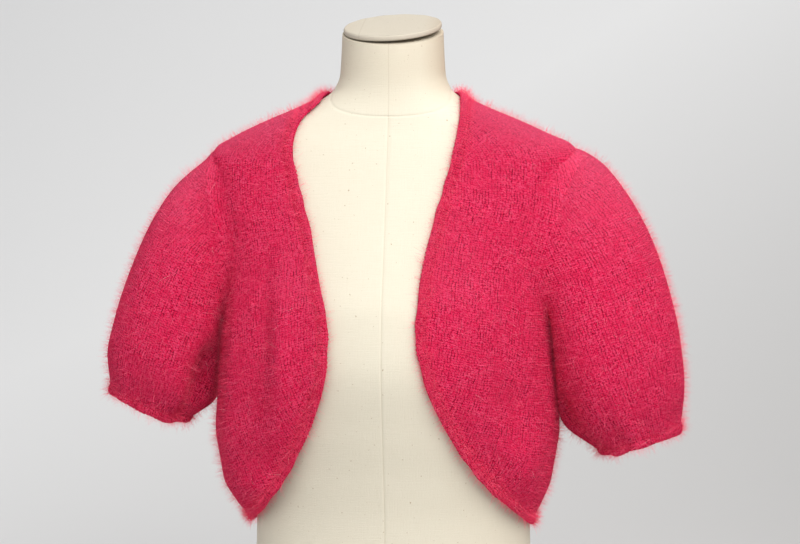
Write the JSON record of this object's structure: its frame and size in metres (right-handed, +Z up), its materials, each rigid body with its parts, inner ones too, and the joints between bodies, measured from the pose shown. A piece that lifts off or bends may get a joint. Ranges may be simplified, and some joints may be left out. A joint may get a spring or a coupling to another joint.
{
  "type": "cropped half sleeve sweater on a dress form",
  "caption": "Cropped open-front knitted sweater in brushed mohair with short full sleeves gathered into narrow cuffs, worn by a limbless cloth-covered dress form",
  "frame": {"origin": "the middle of the dress form's flat base, on the surface it stands on", "axes": "+Z up, along the neck; -Y is the garment's open front; +X is to the right as seen from the front"},
  "size_m": [0.5786, 0.246, 0.7261],
  "materials": {
    "cover": "cream plain-woven cotton stretched over padding, matt",
    "cap_cover": "cream woven cotton over a disc, matt",
    "knit": "raspberry brushed mohair knit in plain stocking stitch, soft halo of fibres, matt",
    "edging": "raspberry mohair edging, picked up along the edge, slightly darker, matt"
  },
  "bodies": {
    "root": {"form_torso": "cover", "form_cap": "cap_cover", "back": "knit", "front_left": "knit", "front_right": "knit", "sleeve_left": "knit", "sleeve_right": "knit", "cuff_left": "edging", "cuff_right": "edging", "edge_band": "edging"}
  },
  "joints": []
}
